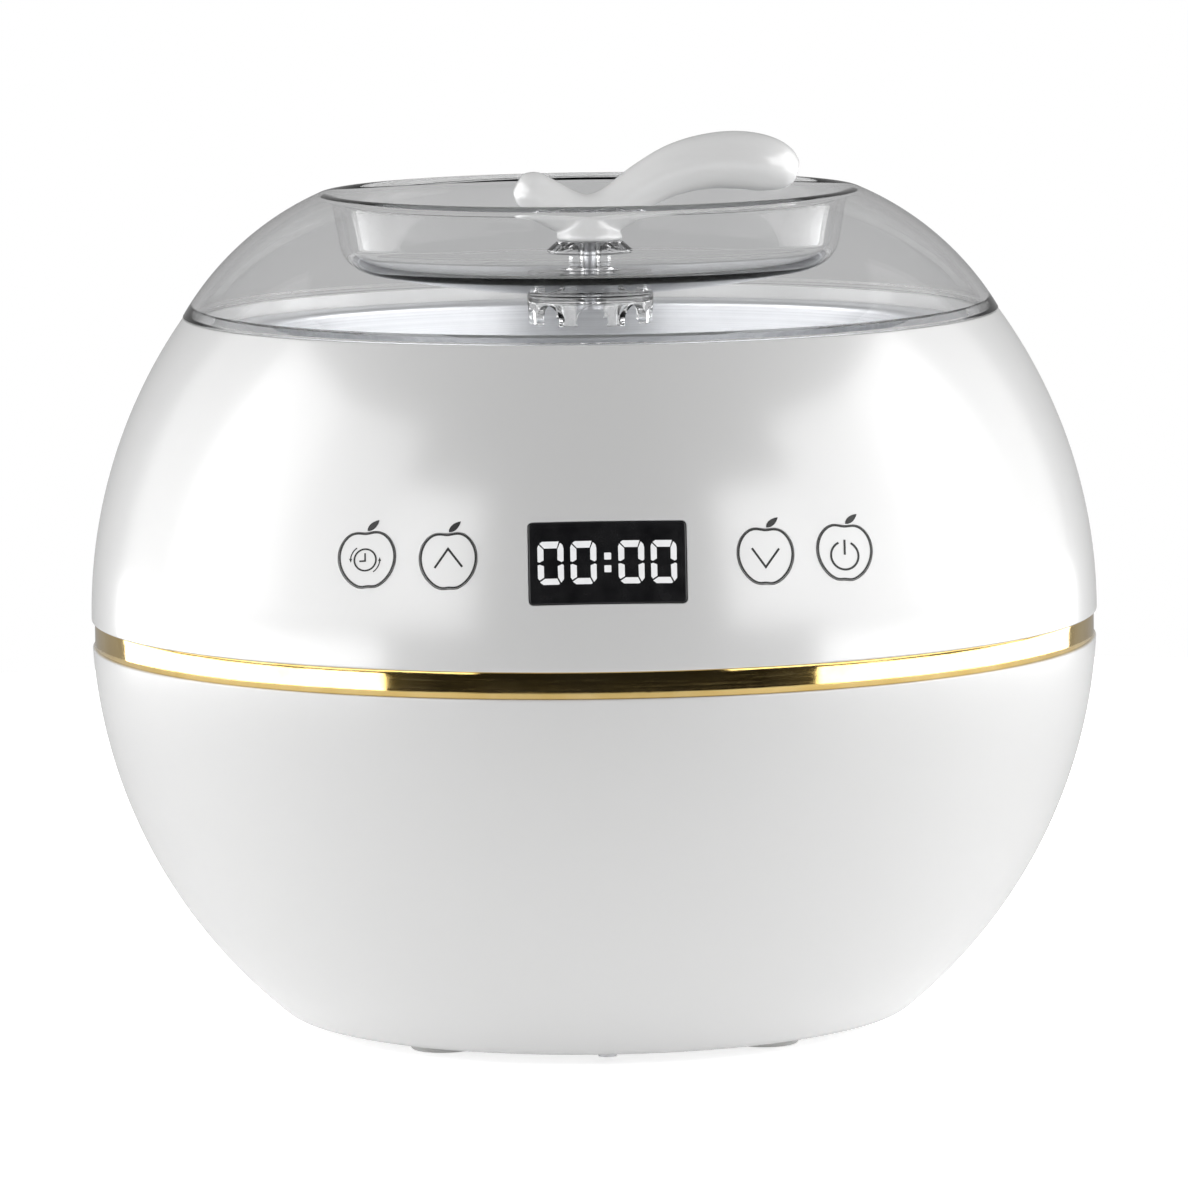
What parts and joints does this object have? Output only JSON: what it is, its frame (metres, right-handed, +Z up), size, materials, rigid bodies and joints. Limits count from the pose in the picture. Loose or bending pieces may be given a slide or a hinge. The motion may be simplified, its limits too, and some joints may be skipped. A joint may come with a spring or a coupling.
{
  "type": "paraffin wax bath",
  "caption": "Round electric wax bath: glossy two-shell body with a polished trim ring, a heated tank, a front key panel with a display, and a clear lift-off lid with a leaf-shaped handle.",
  "frame": {"origin": "On the surface the bath stands on, under the centre of the round body", "axes": "+Z up along the body's centre line, the key panel faces -Y, and the handle's long lobe points to +X"},
  "size_m": [0.29, 0.29, 0.256],
  "materials": {
    "white_shell": "polished white moulded plastic",
    "white_handle": "polished white moulded plastic",
    "key_cap": "polished white moulded plastic",
    "gold_trim": "mirror-polished gold plating",
    "clear_lid": "clear polished plastic with a faint smoke tint",
    "window_black": "polished dark lens",
    "tank_metal": "satin drawn sheet",
    "heater_metal": "plain sheet",
    "steel": "zinc plated",
    "element_sheath": "dark annealed",
    "foot_rubber": "pale grey soft rubber",
    "seal_rubber": "translucent white silicone",
    "felt": "needled mineral felt",
    "board": "coated circuit board",
    "component_black": "fine moulded texture",
    "component_blue": "fine moulded texture",
    "component_yellow": "taped winding",
    "component_green": "fine moulded texture",
    "copper_alloy": "plain turned metal",
    "wire_brown": "plain insulation",
    "wire_red": "plain insulation",
    "cable_grey": "plain sheath",
    "grid_plastic": "fine satin, heat resistant"
  },
  "bodies": {
    "base_unit": {"lower_shell": "white_shell", "upper_shell": "white_shell", "trim_ring": "gold_trim", "base_plate": "white_shell", "foot_front_left": "foot_rubber", "foot_front_right": "foot_rubber", "foot_rear_left": "foot_rubber", "foot_rear_right": "foot_rubber", "base_screws": "steel", "wax_tank": "tank_metal", "tank_seal": "seal_rubber", "insulation_jacket": "felt", "heater_plate": "heater_metal", "heater_element": "element_sheath", "heater_studs": "steel", "heater_nuts": "steel", "temperature_sensor": "copper_alloy", "thermal_fuse": "steel", "main_board": "board", "relay": "component_blue", "transformer": "component_yellow", "capacitor": "component_black", "terminal_block": "component_green", "main_board_screws": "steel", "display_window": "window_black", "display_module": "component_black", "display_board": "board", "key_board_left": "board", "key_board_right": "board", "tact_switches": "component_black", "buzzer": "component_black", "board_screws": "steel", "power_inlet": "component_black", "inlet_pins": "steel", "mains_wires": "wire_brown", "heater_wires": "wire_red", "signal_cable": "cable_grey"},
    "lid": {"lid_shell": "clear_lid", "handle_collar": "clear_lid", "petal_collar": "clear_lid", "handle": "white_handle", "handle_screw": "steel"},
    "grid": {"guard_grid": "grid_plastic"},
    "timer_key": {"timer_button": "key_cap"},
    "up_key": {"up_button": "key_cap"},
    "down_key": {"down_button": "key_cap"},
    "power_key": {"power_button": "key_cap"}
  },
  "joints": [
    {"name": "lid_lift", "type": "slide", "parent": "base_unit", "child": "lid", "axis": [0, 0, 1], "range_m": [0, 0.12]},
    {"name": "grid_lift", "type": "slide", "parent": "base_unit", "child": "grid", "axis": [0, 0, 1], "range_m": [0, 0.09]},
    {"name": "timer_press", "type": "slide", "parent": "base_unit", "child": "timer_key", "axis": [0, 0.98, -0.1992], "range_m": [0, 0.001], "stiffness_N_per_m": 300, "springref_m": -0.001},
    {"name": "up_press", "type": "slide", "parent": "base_unit", "child": "up_key", "axis": [0, 0.98, -0.1992], "range_m": [0, 0.001], "stiffness_N_per_m": 300, "springref_m": -0.001},
    {"name": "down_press", "type": "slide", "parent": "base_unit", "child": "down_key", "axis": [0, 0.98, -0.1992], "range_m": [0, 0.001], "stiffness_N_per_m": 300, "springref_m": -0.001},
    {"name": "power_press", "type": "slide", "parent": "base_unit", "child": "power_key", "axis": [0, 0.98, -0.1992], "range_m": [0, 0.001], "stiffness_N_per_m": 300, "springref_m": -0.001}
  ]
}
